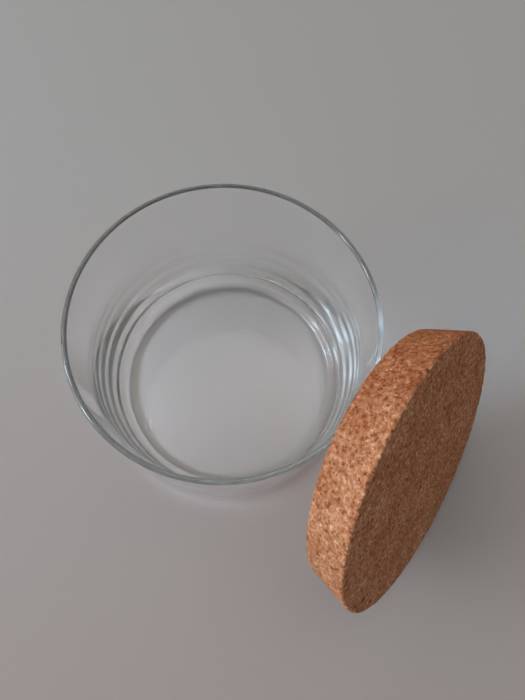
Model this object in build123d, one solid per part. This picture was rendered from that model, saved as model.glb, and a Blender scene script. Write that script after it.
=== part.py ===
"""Glass storage jar and its tapered cork lid, with the lid taken off and leaning on the jar's rim.

Millimetres, +Z up. The origin is the middle of the jar's foot, level with the table that both stand on.
The lid leans towards +X: its narrow face touches the rim and its lower edge stands on the table.
"""
import os
from math import cos, radians, sin, sqrt, tan

from build123d import *

# Jar: outside, wall, and the arc in degrees that rounds the rim over the wall's whole width
JAR_DIAMETER = 130.0
JAR_HEIGHT = 94.0
WALL = 2.8
RIM_ARC = 140.0

# Jar: the floor, and the taper by which the inside narrows and the wall thickens down to it
FLOOR_THICKNESS = 4.6
TAPER_TOP_HEIGHT = 62.0
TAPER_WIDTH = 3.9
FLOOR_CORNER_BEVEL = 2.6

# Jar: the rounded heel, the ring that it stands on, and the shallow hollow inside that ring
HEEL_RADIUS = 7.8
FOOT_RING_WIDTH = 1.5
HOLLOW_DEPTH = 1.3
HOLLOW_SLOPE_WIDTH = 3.0

# Cork lid: its taper is set by the mouth that it plugs
LID_THICKNESS = 20.5
LID_TOP_OVERSIZE = 2.4
LID_BOTTOM_UNDERSIZE = 3.1
LID_EDGE_BEVEL = 0.7

# The lid as it leans: how far its faces are from upright, how far its middle is to one side of the line
# that it leans along, and the room left at the rim
LEAN_ANGLE = 26.6
LEAN_OFF_MIDDLE = 2.0
LEAN_CLEARANCE = 0.3

QUARTER_TURN = 90.0
jar_radius = JAR_DIAMETER / 2
mouth_radius = jar_radius - WALL
rim_radius = WALL / (2 * sin(radians(RIM_ARC / 2)))
lid_top_radius = mouth_radius + LID_TOP_OVERSIZE
lid_bottom_radius = mouth_radius - LID_BOTTOM_UNDERSIZE
lid_taper = (lid_top_radius - lid_bottom_radius) / LID_THICKNESS


def jar_profile():
    """Half of the jar's section: foot ring, heel, outside, rim, tapered inside, floor, axis and hollow."""
    ring_inner = jar_radius - HEEL_RADIUS - FOOT_RING_WIDTH
    wall_foot = mouth_radius - TAPER_WIDTH
    rim_centre = (jar_radius - WALL / 2, JAR_HEIGHT - rim_radius)
    with BuildLine(Plane.XZ) as profile:
        rim = CenterArc(rim_centre, rim_radius, start_angle=QUARTER_TURN - RIM_ARC / 2, arc_size=RIM_ARC)
        FilletPolyline((ring_inner, 0), (jar_radius, 0), rim @ 0, radius=HEEL_RADIUS)
        Polyline(
            rim @ 1,
            (mouth_radius, TAPER_TOP_HEIGHT),
            (wall_foot, FLOOR_THICKNESS + FLOOR_CORNER_BEVEL),
            (wall_foot - FLOOR_CORNER_BEVEL, FLOOR_THICKNESS),
            (0, FLOOR_THICKNESS),
            (0, HOLLOW_DEPTH),
            (ring_inner - HOLLOW_SLOPE_WIDTH, HOLLOW_DEPTH),
            (ring_inner, 0),
        )
    return profile.line


def lid_profile():
    """Half of the lid's section about its own axis, with the narrow face at height nought."""
    side_step = lid_taper * LID_EDGE_BEVEL
    with BuildLine(Plane.XZ) as profile:
        Polyline(
            (0, 0),
            (lid_bottom_radius - LID_EDGE_BEVEL, 0),
            (lid_bottom_radius + side_step, LID_EDGE_BEVEL),
            (lid_top_radius - side_step, LID_THICKNESS - LID_EDGE_BEVEL),
            (lid_top_radius - LID_EDGE_BEVEL, LID_THICKNESS),
            (0, LID_THICKNESS),
            close=True,
        )
    return profile.line


def turned(profile):
    """A solid turned from half of its section about the Z axis."""
    with BuildPart() as solid:
        with BuildSketch(Plane.XZ) as section:
            with BuildLine(Plane.XZ):
                add(profile)
            make_face()
        revolve(section.sketch, axis=Axis.Z)
    return solid.part


def leaning_place():
    """Where the narrow face's centre goes, so that the lid stands on the table and just clears the rim.

    The lid stands on the corner where its lower bevel meets its side. Its tip, the top of the narrow face,
    is above the rim, and the face rests there; a lid too short for that would rest its tip on the wall.
    """
    lean = radians(LEAN_ANGLE)
    standing_radius = lid_bottom_radius + lid_taper * LID_EDGE_BEVEL
    centre_z = standing_radius * cos(lean) - LID_EDGE_BEVEL * sin(lean)
    tip_radius = lid_bottom_radius - LID_EDGE_BEVEL
    tip_rise = centre_z + tip_radius * cos(lean) - (JAR_HEIGHT - rim_radius)
    spread = rim_radius + LEAN_CLEARANCE
    touch_rise = spread * sin(lean)
    level_gap = sqrt(spread ** 2 - min(max(tip_rise, 0), touch_rise) ** 2)
    tip_x = jar_radius - WALL / 2 + level_gap - max(tip_rise - touch_rise, 0) * tan(lean)
    return tip_x + tip_radius * sin(lean), centre_z


glass_jar = turned(jar_profile())
lean_x, lean_z = leaning_place()
lid_place = Pos(lean_x, -LEAN_OFF_MIDDLE, lean_z) * Rot(0, QUARTER_TURN - LEAN_ANGLE, 0)
cork_lid = lid_place * turned(lid_profile())

seat_depth = LID_THICKNESS * LID_BOTTOM_UNDERSIZE / (LID_TOP_OVERSIZE + LID_BOTTOM_UNDERSIZE)
print("narrow face's centre", lean_x, lean_z)
print("the lid would plug the mouth to a depth of", seat_depth)

os.makedirs("parts", exist_ok=True)
export_step(glass_jar, "parts/glass_jar.step")
export_step(cork_lid, "parts/cork_lid.step")
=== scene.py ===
"""Looks of the glass storage jar and its cork lid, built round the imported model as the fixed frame.

The jar is one spun wall of clear glass, and the lid one block of agglomerated cork. Lengths are in metres.
"""
import math

import bmesh
import bpy
from mathutils import Matrix, Vector, noise


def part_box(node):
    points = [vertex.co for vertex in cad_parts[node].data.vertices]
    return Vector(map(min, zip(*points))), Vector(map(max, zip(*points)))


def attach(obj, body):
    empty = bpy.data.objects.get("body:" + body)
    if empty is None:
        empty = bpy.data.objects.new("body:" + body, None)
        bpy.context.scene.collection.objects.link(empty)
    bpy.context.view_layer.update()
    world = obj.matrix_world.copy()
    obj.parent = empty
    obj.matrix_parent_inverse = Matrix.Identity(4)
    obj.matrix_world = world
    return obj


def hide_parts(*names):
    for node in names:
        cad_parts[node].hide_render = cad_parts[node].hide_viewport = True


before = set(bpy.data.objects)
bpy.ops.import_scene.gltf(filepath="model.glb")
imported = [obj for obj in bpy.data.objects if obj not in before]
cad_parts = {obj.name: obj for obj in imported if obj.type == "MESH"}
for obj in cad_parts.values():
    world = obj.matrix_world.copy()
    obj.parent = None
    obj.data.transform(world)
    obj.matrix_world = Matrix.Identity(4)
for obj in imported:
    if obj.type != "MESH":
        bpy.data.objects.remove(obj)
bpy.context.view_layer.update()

bl_info = {
    "name": "Glass Jar with Cork Lid",
    "version": (1, 0, 0),
    "blender": (4, 5, 0),
    "location": "3D View > Sidebar > Cork Jar",
    "description": "Models a low storage jar of clear glass and the cork lid that leans on its rim",
    "category": "Add Mesh",
}

jar_low, jar_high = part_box("glass_jar")
lid_low, lid_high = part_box("cork_lid")


class JarSizes(bpy.types.PropertyGroup):
    """Sizes of the glass, all across or above the middle of its foot."""

    radius: bpy.props.FloatProperty(
        name="Outside radius", description="Half of the jar's diameter",
        default=jar_high.x, unit="LENGTH")
    height: bpy.props.FloatProperty(
        name="Height", description="From the table to the top of the rim",
        default=jar_high.z, unit="LENGTH")
    wall: bpy.props.FloatProperty(
        name="Wall", description="Thickness of the wall at the mouth",
        default=0.0022, unit="LENGTH")
    floor: bpy.props.FloatProperty(
        name="Floor", description="Height of the inside floor above the table",
        default=0.0046, unit="LENGTH")
    swell_top: bpy.props.FloatProperty(
        name="Swell top", description="Height where the inside starts to swell inwards",
        default=0.065, unit="LENGTH")
    swell_radius: bpy.props.FloatProperty(
        name="Swell radius", description="Radius of the long arc by which the wall thickens",
        default=0.345, unit="LENGTH")
    corner_radius: bpy.props.FloatProperty(
        name="Inside corner", description="Radius between the inside wall and the floor",
        default=0.0042, unit="LENGTH")
    heel_radius: bpy.props.FloatProperty(
        name="Heel", description="Radius between the outside wall and the foot ring",
        default=0.0106, unit="LENGTH")
    ring_width: bpy.props.FloatProperty(
        name="Foot ring", description="Width of the flat ring that the jar stands on",
        default=0.0003, unit="LENGTH")
    hollow: bpy.props.FloatProperty(
        name="Hollow", description="Height of the shallow dome under the floor",
        default=0.0003, unit="LENGTH")


LID_LEAN = math.radians(26.6)


class LidSizes(bpy.types.PropertyGroup):
    """Sizes of the cork and how it leans."""

    thickness: bpy.props.FloatProperty(
        name="Thickness", description="Between the two round faces",
        default=0.0205, unit="LENGTH")
    wide_radius: bpy.props.FloatProperty(
        name="Wide radius", description="Radius of the top face",
        default=0.0646, unit="LENGTH")
    narrow_radius: bpy.props.FloatProperty(
        name="Narrow radius", description="Radius of the face that goes into the mouth",
        default=0.0591, unit="LENGTH")
    bevel: bpy.props.FloatProperty(
        name="Bevel", description="Width of the broken edge round both faces",
        default=0.0007, unit="LENGTH")
    lean: bpy.props.FloatProperty(
        name="Lean", description="How far the faces are from upright",
        default=LID_LEAN, subtype="ANGLE")


class Finishes(bpy.types.PropertyGroup):
    """Colours of the glass, the cork and the table."""

    glass_tint: bpy.props.FloatVectorProperty(
        name="Glass tint", description="What a long way through the glass leaves of white light",
        default=(0.50, 0.56, 0.57), size=3, min=0, max=1, subtype="COLOR")
    glass_depth: bpy.props.FloatProperty(
        name="Glass depth", description="How fast the tint deepens along the way, per metre",
        default=7.5, min=0)
    cork_pale: bpy.props.FloatVectorProperty(
        name="Pale grain", description="Palest grains of the cork",
        default=(0.62, 0.36, 0.225), size=3, min=0, max=1, subtype="COLOR")
    cork_tan: bpy.props.FloatVectorProperty(
        name="Tan grain", description="Most of the cork's grains",
        default=(0.47, 0.215, 0.107), size=3, min=0, max=1, subtype="COLOR")
    cork_rust: bpy.props.FloatVectorProperty(
        name="Rust grain", description="Reddish grains of the cork",
        default=(0.31, 0.098, 0.032), size=3, min=0, max=1, subtype="COLOR")
    cork_dark: bpy.props.FloatVectorProperty(
        name="Dark speck", description="Small specks of bark in the cork",
        default=(0.15, 0.045, 0.018), size=3, min=0, max=1, subtype="COLOR")
    table: bpy.props.FloatVectorProperty(
        name="Table", description="The plain pale surface that the jar stands on",
        default=(0.368, 0.364, 0.360), size=3, min=0, max=1, subtype="COLOR")
    # Painted shade: the table's colour on its -Y side, towards the camera, darker and warmer
    table_painted_shade: bpy.props.FloatVectorProperty(
        name="Table, near side", description="The same surface on its -Y side, a little warmer",
        default=(0.350, 0.314, 0.305), size=3, min=0, max=1, subtype="COLOR")


def put_in_scene(name, bm, material):
    """A new object at the origin, holding the mesh made so far."""
    mesh = bpy.data.meshes.new(name)
    bm.to_mesh(mesh)
    bm.free()
    mesh.materials.append(material)
    piece = bpy.data.objects.new(name, mesh)
    bpy.context.scene.collection.objects.link(piece)
    return piece


def new_material(name):
    """A material with its node tree and its Principled shader."""
    material = bpy.data.materials.new(name)
    material.use_nodes = True
    return material, material.node_tree, material.node_tree.nodes["Principled BSDF"]


# Sections drawn as bare edges with X outwards and Z up, then spun into solids
MERGE_DISTANCE = 1e-7


def line_to(bm, vert, x, z, cuts=1):
    """Draws the section on in a straight line, in equal steps."""
    start = vert.co.copy()
    for i in range(cuts):
        vert = bmesh.ops.extrude_vert_indiv(bm, verts=[vert])["verts"][0]
        vert.co = start.lerp(Vector((x, 0, z)), (i + 1) / cuts)
    return vert


def arc_to(bm, vert, centre_x, centre_z, angle, steps):
    """Draws the section on along an arc; a positive angle turns clockwise, seen with X to the right."""
    swept = bmesh.ops.spin(
        bm, geom=[vert], cent=(centre_x, 0, centre_z), axis=(0, 1, 0), angle=angle, steps=steps)
    return next(part for part in swept["geom_last"] if isinstance(part, bmesh.types.BMVert))


def spin_round(bm, steps):
    """Turns the drawn section into a closed solid about the Z axis, with its faces outwards."""
    drawn = bm.verts[:] + bm.edges[:]
    bmesh.ops.spin(
        bm, geom=drawn, cent=(0, 0, 0), axis=(0, 0, 1), angle=2 * math.pi, steps=steps, use_merge=True)
    bmesh.ops.remove_doubles(bm, verts=bm.verts[:], dist=MERGE_DISTANCE)
    bmesh.ops.recalc_face_normals(bm, faces=bm.faces[:])


# The jar's mesh: how far beyond an arc its extra edge lies, and the steps in each stretch of the section
SUPPORT = 0.0004
ARC_STEPS = 24
OUTSIDE_STEPS = 24
MOUTH_STEPS = 8
SWELL_STEPS = 48
CORNER_STEPS = 16
FLOOR_STEPS = 16
JAR_SPIN_STEPS = 320

# The glass: its refractive index, and how upright the normal of a level face is
GLASS_INDEX = 1.52
LEVEL_NORMAL = 0.99999


def draw_jar_section(bm, sizes):
    """The jar's section, from the middle of the underside round to the middle of the floor."""
    ring_outer = sizes.radius - sizes.heel_radius
    ring_inner = ring_outer - sizes.ring_width
    dome_radius = (ring_inner ** 2 + sizes.hollow ** 2) / (2 * sizes.hollow)
    rim = sizes.wall / 2
    rim_height = sizes.height - rim
    mouth = sizes.radius - sizes.wall
    swell_x = mouth - sizes.swell_radius
    drop = sizes.swell_top - sizes.floor - sizes.corner_radius
    inner = sizes.swell_radius - sizes.corner_radius
    turn = math.asin(drop / inner)
    corner_x = swell_x + inner * math.cos(turn)

    end = bm.verts.new((0, 0, sizes.hollow))
    end = arc_to(bm, end, 0, sizes.hollow - dome_radius, math.asin(ring_inner / dome_radius), ARC_STEPS)
    end = line_to(bm, end, ring_outer, 0)
    end = arc_to(bm, end, ring_outer, sizes.heel_radius, -math.pi / 2, ARC_STEPS)
    end = line_to(bm, end, sizes.radius, sizes.heel_radius + SUPPORT)
    end = line_to(bm, end, sizes.radius, rim_height - SUPPORT, OUTSIDE_STEPS)
    end = line_to(bm, end, sizes.radius, rim_height)
    end = arc_to(bm, end, sizes.radius - rim, rim_height, -math.pi, ARC_STEPS)
    end = line_to(bm, end, mouth, rim_height - SUPPORT)
    end = line_to(bm, end, mouth, sizes.swell_top + SUPPORT, MOUTH_STEPS)
    end = line_to(bm, end, mouth, sizes.swell_top)
    end = arc_to(bm, end, swell_x, sizes.swell_top, turn, SWELL_STEPS)
    end = arc_to(bm, end, corner_x, sizes.floor + sizes.corner_radius, math.pi / 2 - turn, CORNER_STEPS)
    end = line_to(bm, end, corner_x - SUPPORT, sizes.floor)
    line_to(bm, end, 0, sizes.floor, FLOOR_STEPS)


def glass_material(finish):
    """Clear glass, colourless when thin and a faint grey-green where light goes a long way inside it."""
    material, tree, shader = new_material("jar_glass")
    shader.inputs["Base Color"].default_value = (1, 1, 1, 1)
    shader.inputs["Transmission Weight"].default_value = 1
    shader.inputs["Roughness"].default_value = 0
    shader.inputs["IOR"].default_value = GLASS_INDEX
    absorb = tree.nodes.new("ShaderNodeVolumeAbsorption")
    absorb.inputs["Color"].default_value = (*finish.glass_tint, 1)
    absorb.inputs["Density"].default_value = finish.glass_depth
    tree.links.new(absorb.outputs["Volume"], tree.nodes["Material Output"].inputs["Volume"])
    return material


class CORKJAR_OT_glass(bpy.types.Operator):
    """Spins the jar's wall, floor and foot from one section"""

    bl_idname = "corkjar.glass"
    bl_label = "Glass Jar"

    def execute(self, context):
        sizes = context.scene.jar_sizes
        bm = bmesh.new()
        draw_jar_section(bm, sizes)
        spin_round(bm, JAR_SPIN_STEPS)
        for face in bm.faces:
            level = abs(face.normal.z) >= LEVEL_NORMAL
            face.smooth = not level and face.calc_center_median().z > sizes.hollow
        jar = put_in_scene("glass_jar_wall", bm, glass_material(context.scene.finishes))
        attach(jar, "jar")
        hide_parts("glass_jar")
        return {"FINISHED"}


# The cork's mesh, then the sizes and depths of its grains, its open pores and its chipped edges
CORK_SPIN_STEPS = 256
VOXEL = 0.00068
GRAIN_SIZE = 0.0011
GRAIN_DEPTH = 0.00008
PORE_SIZE = 0.0030
PORE_START = 0.30
PORE_DEPTH = 0.0009
CHIP_SIZE = 0.0021
CHIP_START = -0.15
CHIP_DEPTH = 0.0011
CHIP_REACH = 0.0013


def place_like_node(bm, turn, low, high):
    """Turns the mesh, then puts the middle of its box on the middle of the node's box."""
    bmesh.ops.transform(bm, matrix=turn, verts=bm.verts[:])
    mesh_low, mesh_high = (
        Vector([pick(vert.co[i] for vert in bm.verts) for i in range(3)]) for pick in (min, max))
    bmesh.ops.translate(bm, vec=(low + high - mesh_low - mesh_high) / 2, verts=bm.verts[:])


def cork_block(sizes):
    """The plain lid about its own axis, narrow face at height nought, as a bmesh."""
    slope = (sizes.wide_radius - sizes.narrow_radius) / sizes.thickness * sizes.bevel
    bm = bmesh.new()
    end = bm.verts.new((0, 0, 0))
    end = line_to(bm, end, sizes.narrow_radius - sizes.bevel, 0)
    end = line_to(bm, end, sizes.narrow_radius + slope, sizes.bevel)
    end = line_to(bm, end, sizes.wide_radius - slope, sizes.thickness - sizes.bevel)
    end = line_to(bm, end, sizes.wide_radius - sizes.bevel, sizes.thickness)
    line_to(bm, end, 0, sizes.thickness)
    spin_round(bm, CORK_SPIN_STEPS)
    return bm


def remeshed(bm, voxel):
    """The same solid with an even net of small faces."""
    rough = put_in_scene("cork_rough", bm, None)
    remesh = rough.modifiers.new("even net", "REMESH")
    remesh.mode = "VOXEL"
    remesh.voxel_size = voxel
    even = bpy.data.meshes.new_from_object(rough.evaluated_get(bpy.context.evaluated_depsgraph_get()))
    bpy.data.objects.remove(rough)
    fine = bmesh.new()
    fine.from_mesh(even)
    bpy.data.meshes.remove(even)
    return fine


def pit_depth(place, sizes):
    """How far the cut surface lies below the plain lid: grains, open pores and chipped edges."""
    grain = noise.cell(place / GRAIN_SIZE)
    pore = max(0.0, noise.noise(place / PORE_SIZE) - PORE_START)
    share = place.z / sizes.thickness
    radius = sizes.narrow_radius + share * (sizes.wide_radius - sizes.narrow_radius)
    inward = radius - place.xy.length
    from_face = min(place.z, sizes.thickness - place.z)
    edge = max(0.0, 1 - (inward + from_face) / CHIP_REACH)
    chip = max(0.0, noise.noise(place / CHIP_SIZE) - CHIP_START)
    return GRAIN_DEPTH * grain + PORE_DEPTH * pore + CHIP_DEPTH * edge * chip


class CORKJAR_OT_cork(bpy.types.Operator):
    """Cuts the tapered cork lid and leans it on the rim"""

    bl_idname = "corkjar.cork"
    bl_label = "Cork Lid"

    def execute(self, context):
        sizes = context.scene.lid_sizes
        bm = remeshed(cork_block(sizes), VOXEL)
        bm.normal_update()
        depths = [pit_depth(vert.co, sizes) for vert in bm.verts]
        for vert, depth in zip(bm.verts, depths):
            vert.co -= vert.normal * depth
        for face in bm.faces:
            face.smooth = True
        place_like_node(bm, Matrix.Rotation(math.pi / 2 - sizes.lean, 4, "Y"), lid_low, lid_high)
        lid = put_in_scene("cork_lid_block", bm, cork_material(context.scene.finishes))
        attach(lid, "lid")
        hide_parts("cork_lid")
        return {"FINISHED"}


# The Mix node's inputs for its share and two colours, and its output for the mixed colour
MIX_INPUTS = (0, 6, 7)
MIX_OUTPUT = 2


def add_node(tree, kind, **values):
    """A shader node with some of its inputs or properties set by name."""
    node = tree.nodes.new(kind)
    for name, value in values.items():
        if name in node.inputs:
            node.inputs[name].default_value = value
        else:
            setattr(node, name, value)
    return node


def colour_steps(tree, source, steps):
    """A colour ramp over the source, from a list of places and colours."""
    ramp = tree.nodes.new("ShaderNodeValToRGB")
    while len(ramp.color_ramp.elements) < len(steps):
        ramp.color_ramp.elements.new(0.5)
    for element, (place, colour) in zip(ramp.color_ramp.elements, steps):
        element.position = place
        element.color = (*colour, 1)
    tree.links.new(source, ramp.inputs["Fac"])
    return ramp.outputs["Color"]


def mixed(tree, share, first, second, blend="MIX"):
    """Mixes two colours; the share, and either colour, may be a socket or a plain value."""
    mix = tree.nodes.new("ShaderNodeMix")
    mix.data_type = "RGBA"
    mix.blend_type = blend
    for index, value in zip(MIX_INPUTS, (share, first, second)):
        if isinstance(value, bpy.types.NodeSocket):
            tree.links.new(value, mix.inputs[index])
        else:
            mix.inputs[index].default_value = value
    return mix.outputs[MIX_OUTPUT]


def stepped(tree, source, low, high, ease="LINEAR"):
    """A socket that rises from nought to one as the source goes from low to high."""
    ramp = add_node(tree, "ShaderNodeMapRange", interpolation_type=ease)
    ramp.inputs["From Min"].default_value = low
    ramp.inputs["From Max"].default_value = high
    tree.links.new(source, ramp.inputs["Value"])
    return ramp.outputs["Result"]


def channel(tree, colour, name):
    """One channel of a colour, as a socket."""
    split = tree.nodes.new("ShaderNodeSeparateColor")
    tree.links.new(colour, split.inputs["Color"])
    return split.outputs[name]


def direction(bearing, height):
    """A unit vector with its bearing from +X towards +Y, and its height above the horizon."""
    level = math.cos(height)
    return Vector((math.cos(bearing) * level, math.sin(bearing) * level, math.sin(height)))


def toward(tree, coordinate, way, low, high):
    """Rises smoothly from nought to one as a coordinate's reach along the way goes from low to high."""
    reach = add_node(tree, "ShaderNodeVectorMath", operation="DOT_PRODUCT")
    tree.links.new(tree.nodes.new("ShaderNodeTexCoord").outputs[coordinate], reach.inputs[0])
    reach.inputs[1].default_value = way
    return stepped(tree, reach.outputs["Value"], low, high, "SMOOTHSTEP")


# The cork's textures in cells to a metre, and how far the cells' edges are bent, in metres
BEND_SCALE = 1100.0
BEND_WIDTH = 0.0014
GRAIN_SCALE = 1000.0
SPECK_SCALE = 750.0
MOTTLE_SCALE = 540.0
CLOUD_SCALE = 75.0
GRIT_SCALE = 2600.0

# The cork's tones: the places of its patches, and what grains, clouds and grit do to the colour under them
PATCH_PLACES = (0.36, 0.45, 0.54, 0.64)
GRAIN_TONES = (
    (0.0, (0.62, 0.50, 0.40)), (0.2, (0.92, 0.88, 0.84)),
    (0.7, (1.05, 1.06, 1.06)), (1.0, (1.28, 1.36, 1.42)))
CLOUD_TONES = ((0.35, (0.92, 0.82, 0.74)), (0.65, (1.10, 1.16, 1.20)))
GRIT_TONES = ((0.30, (0.66, 0.58, 0.52)), (0.65, (1.18, 1.20, 1.22)))

# Tints along Y on the wide face and on the rest of the lid, and where the one gives way to the other.
# Towards +Y the rest of the lid turns darker and rustier: partly the cork's own tone, partly painted shade.
TONE_AND_SHADE_SPAN = (-0.07, 0.07)
WIDE_FACE_TINTS = ((1.0, 1.0, 1.0, 1), (1.0, 0.96, 0.93, 1))
OTHER_TONE_AND_PAINTED_SHADE = ((0.96, 0.98, 1.00, 1), (0.68, 0.46, 0.31, 1))
WIDE_FACE_SPAN = (0.3, 0.8)

# The dark specks: their soft edge, and the cell's draw from which it has one. Then the cork's finish
SPECK_EDGE = (0.55, 0.25)
SPECK_DRAW = (0.86, 0.90)
CORK_ROUGHNESS = 0.85
CORK_SHINE = 0.25
RELIEF_STRENGTH = 0.45
RELIEF_DEPTH = 0.0003


def cork_material(finish):
    """Agglomerated cork: fine tan grains, paler and rustier patches, and small dark specks of bark."""
    material, tree, shader = new_material("agglomerated_cork")
    place = tree.nodes.new("ShaderNodeTexCoord").outputs["Object"]
    bend = add_node(tree, "ShaderNodeTexNoise", Scale=BEND_SCALE, Detail=2.0)
    tree.links.new(place, bend.inputs["Vector"])
    nudge = add_node(tree, "ShaderNodeVectorMath", operation="MULTIPLY_ADD")
    tree.links.new(bend.outputs["Color"], nudge.inputs[0])
    nudge.inputs[1].default_value = (BEND_WIDTH,) * 3
    tree.links.new(place, nudge.inputs[2])

    grains = add_node(tree, "ShaderNodeTexVoronoi", Scale=GRAIN_SCALE)
    specks = add_node(tree, "ShaderNodeTexVoronoi", Scale=SPECK_SCALE)
    for texture in (grains, specks):
        tree.links.new(nudge.outputs["Vector"], texture.inputs["Vector"])
    mottle = add_node(tree, "ShaderNodeTexNoise", Scale=MOTTLE_SCALE, Detail=3.0, Roughness=0.6)
    clouds = add_node(tree, "ShaderNodeTexNoise", Scale=CLOUD_SCALE, Detail=2.0, Roughness=0.5)
    grit = add_node(tree, "ShaderNodeTexNoise", Scale=GRIT_SCALE, Detail=3.0, Roughness=0.7)
    for texture in (mottle, clouds, grit):
        tree.links.new(place, texture.inputs["Vector"])

    # Along Y the side and narrow face turn darker and rustier towards +Y: partly the cork's own tone,
    # partly painted shade
    across = toward(tree, "Object", (0, 1, 0), *TONE_AND_SHADE_SPAN)
    wide_face = toward(tree, "Normal", direction(0, LID_LEAN), *WIDE_FACE_SPAN)
    layers = (
        colour_steps(tree, channel(tree, grains.outputs["Color"], "Red"), GRAIN_TONES),
        colour_steps(tree, clouds.outputs["Fac"], CLOUD_TONES),
        mixed(tree, wide_face, mixed(tree, across, *OTHER_TONE_AND_PAINTED_SHADE), mixed(tree, across, *WIDE_FACE_TINTS)),
        colour_steps(tree, grit.outputs["Fac"], GRIT_TONES))
    colours = (finish.cork_rust, finish.cork_tan, finish.cork_tan, finish.cork_pale)
    body = colour_steps(tree, mottle.outputs["Fac"], list(zip(PATCH_PLACES, colours)))
    for layer in layers:
        body = mixed(tree, 1.0, body, layer, "MULTIPLY")

    draw = channel(tree, specks.outputs["Color"], "Green")
    spot = add_node(tree, "ShaderNodeMath", operation="MULTIPLY")
    tree.links.new(stepped(tree, specks.outputs["Distance"], *SPECK_EDGE), spot.inputs[0])
    tree.links.new(stepped(tree, draw, *SPECK_DRAW), spot.inputs[1])
    body = mixed(tree, spot.outputs["Value"], body, (*finish.cork_dark, 1))
    tree.links.new(body, shader.inputs["Base Color"])
    shader.inputs["Roughness"].default_value = CORK_ROUGHNESS
    shader.inputs["Specular IOR Level"].default_value = CORK_SHINE

    relief = add_node(tree, "ShaderNodeBump", Strength=RELIEF_STRENGTH, Distance=RELIEF_DEPTH)
    tree.links.new(grit.outputs["Fac"], relief.inputs["Height"])
    tree.links.new(relief.outputs["Normal"], shader.inputs["Normal"])
    return material


# The table: half of its width, its depth below the foot, its finish, and where painted shade makes it
# darker and warmer
TABLE_SIZE = 30.0
TABLE_DROP = 0.0002
TABLE_ROUGHNESS = 0.75
TABLE_SHINE = 0.2
PAINTED_SHADE_BEARING = math.radians(-68)
PAINTED_SHADE_SPAN = (-0.15, 0.22)

# The room: its light from the window's side, its shade high on the camera's side, and its plain backdrop
WINDOW_BEARING = math.radians(-140)
WINDOW_HEIGHT = math.radians(27)
ROOM_LIGHT_HEIGHT = math.radians(62)
ROOM_SPAN = (-0.05, 1.0)
ROOM_LIGHT = (1.38, 1.34, 1.30)
ROOM_DIM = (0.15, 0.145, 0.14)
SHADE_PLACE = (math.radians(-45), math.radians(64))
SHADE_SPAN = (0.76, 0.95)
SHADE = (0.02, 0.02, 0.02)
BACKDROP = (0.72, 0.71, 0.70)

# The lamps: their aim, then the distance, size, power and colour of the window and of its two panes
LAMP_AIM = (0, 0, 0.04)
WINDOW_AWAY = 1.3
WINDOW_SIZE = (0.8, 0.7)
WINDOW_POWER = 8.5
WINDOW_COLOUR = (0.82, 0.9, 1.0)
PANE_TURN = math.radians(9)
PANE_AWAY = 1.25
PANE_SIZE = (0.1, 0.7)
PANE_POWER = 4.0
PANE_COLOUR = (0.62, 0.80, 1.0)

# The camera, and how many times light may bounce or pass through glass
CAMERA_PLACE = (0.04986, -0.06187, 0.29175)
CAMERA_AIM = (0.00578, 0.02569, 0.0)
CAMERA_ROLL = math.radians(-6.23)
SENSOR_HEIGHT = 36.0
LENS = 27.05
LIGHT_BOUNCES = 32


class CORKJAR_OT_stage(bpy.types.Operator):
    """Sets out the table, the soft light and the camera"""

    bl_idname = "corkjar.stage"
    bl_label = "Stage"

    def execute(self, context):
        lay_table(context.scene.finishes)
        light_room(context.scene)
        set_camera(context.scene)
        return {"FINISHED"}


def lay_table(finish):
    """A plain matt table just under the foot, with painted shade making it a little warmer and darker on
    its -Y side.
    """
    material, tree, shader = new_material("plain_table")
    # Painted shade: the table turns darker and warmer towards the camera's side
    near = toward(tree, "Object", direction(PAINTED_SHADE_BEARING, 0), *PAINTED_SHADE_SPAN)
    body = mixed(tree, near, (*finish.table, 1), (*finish.table_painted_shade, 1))
    tree.links.new(body, shader.inputs["Base Color"])
    shader.inputs["Roughness"].default_value = TABLE_ROUGHNESS
    shader.inputs["Specular IOR Level"].default_value = TABLE_SHINE
    bm = bmesh.new()
    bmesh.ops.create_grid(bm, x_segments=1, y_segments=1, size=TABLE_SIZE)
    bmesh.ops.translate(bm, vec=(0, 0, -TABLE_DROP), verts=bm.verts[:])
    put_in_scene("table", bm, material)


def soft_lamp(name, bearing, away, size, power, colour):
    """One rectangular lamp at the window's height that faces the jar."""
    light = bpy.data.lights.new(name, "AREA")
    light.shape = "RECTANGLE"
    light.size, light.size_y = size
    light.energy = power
    light.color = colour
    lamp = bpy.data.objects.new(name, light)
    place = direction(bearing, WINDOW_HEIGHT) * away
    lamp.location = place
    lamp.rotation_euler = (Vector(LAMP_AIM) - place).to_track_quat("-Z", "Y").to_euler()
    bpy.context.scene.collection.objects.link(lamp)
    return lamp


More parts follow.
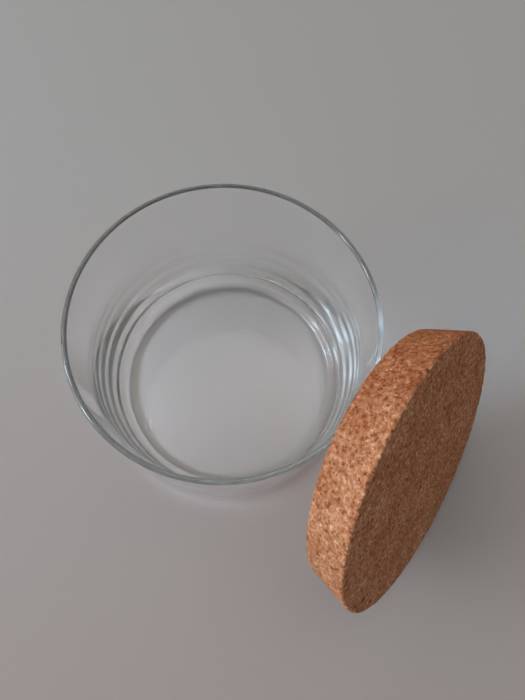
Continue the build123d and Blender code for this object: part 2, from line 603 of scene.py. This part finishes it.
def light_room(scene):
    """A soft room, bright towards a window and dark high on the camera's side.

    The camera sees the plain backdrop in its place. The two panes show only in glass and gloss.
    """
    world = bpy.data.worlds.new("soft_room")
    scene.world = world
    world.use_nodes = True
    tree = world.node_tree
    room = tree.nodes["Background"]
    bright = toward(tree, "Generated", direction(WINDOW_BEARING, ROOM_LIGHT_HEIGHT), *ROOM_SPAN)
    glow = mixed(tree, bright, (*ROOM_DIM, 1), (*ROOM_LIGHT, 1))
    shaded = toward(tree, "Generated", direction(*SHADE_PLACE), *SHADE_SPAN)
    tree.links.new(mixed(tree, shaded, glow, (*SHADE, 1)), room.inputs["Color"])
    backdrop = add_node(tree, "ShaderNodeBackground", Color=(*BACKDROP, 1))
    seen = tree.nodes.new("ShaderNodeMixShader")
    tree.links.new(tree.nodes.new("ShaderNodeLightPath").outputs["Is Camera Ray"], seen.inputs["Fac"])
    tree.links.new(room.outputs["Background"], seen.inputs[1])
    tree.links.new(backdrop.outputs["Background"], seen.inputs[2])
    tree.links.new(seen.outputs["Shader"], tree.nodes["World Output"].inputs["Surface"])
    soft_lamp("window_light", WINDOW_BEARING, WINDOW_AWAY, WINDOW_SIZE, WINDOW_POWER, WINDOW_COLOUR)
    for name, turn in (("left_pane", -PANE_TURN), ("right_pane", PANE_TURN)):
        pane = soft_lamp(name, WINDOW_BEARING + turn, PANE_AWAY, PANE_SIZE, PANE_POWER, PANE_COLOUR)
        pane.visible_diffuse = False


def set_camera(scene):
    """A hand-held view from above, with the lens, place and roll worked out from the jar's rim and base."""
    lens = bpy.data.cameras.new("camera")
    lens.sensor_fit = "VERTICAL"
    lens.sensor_height = SENSOR_HEIGHT
    lens.lens = LENS
    camera = bpy.data.objects.new("camera", lens)
    camera.location = CAMERA_PLACE
    looking = (Vector(CAMERA_AIM) - Vector(CAMERA_PLACE)).to_track_quat("-Z", "Y").to_matrix()
    camera.rotation_euler = (looking @ Matrix.Rotation(-CAMERA_ROLL, 3, "Z")).to_euler()
    scene.collection.objects.link(camera)
    scene.camera = camera
    scene.view_settings.view_transform = "Standard"
    scene.cycles.max_bounces = LIGHT_BOUNCES
    scene.cycles.glossy_bounces = LIGHT_BOUNCES
    scene.cycles.transmission_bounces = LIGHT_BOUNCES
    scene.cycles.blur_glossy = 0


class CORKJAR_PT_panel(bpy.types.Panel):
    """Lists the jar's pieces and sizes"""

    bl_idname = "CORKJAR_PT_panel"
    bl_label = "Cork Jar"
    bl_space_type = "VIEW_3D"
    bl_region_type = "UI"
    bl_category = "Cork Jar"

    def draw(self, context):
        for group in (context.scene.jar_sizes, context.scene.lid_sizes, context.scene.finishes):
            box = self.layout.box()
            for name in group.bl_rna.properties.keys():
                if name not in ("rna_type", "name"):
                    box.prop(group, name)
        for step in STEPS:
            self.layout.operator(step)


STEPS = ("corkjar.glass", "corkjar.cork", "corkjar.stage")
CLASSES = (
    JarSizes, LidSizes, Finishes, CORKJAR_OT_glass, CORKJAR_OT_cork, CORKJAR_OT_stage, CORKJAR_PT_panel)
GROUPS = {"jar_sizes": JarSizes, "lid_sizes": LidSizes, "finishes": Finishes}


def register():
    for cls in CLASSES:
        bpy.utils.register_class(cls)
    for name, group in GROUPS.items():
        setattr(bpy.types.Scene, name, bpy.props.PointerProperty(type=group))


def unregister():
    for name in GROUPS:
        delattr(bpy.types.Scene, name)
    for cls in reversed(CLASSES):
        bpy.utils.unregister_class(cls)


def main():
    register()
    bpy.ops.corkjar.glass()
    bpy.ops.corkjar.cork()
    bpy.ops.corkjar.stage()


if __name__ == "__main__":
    main()
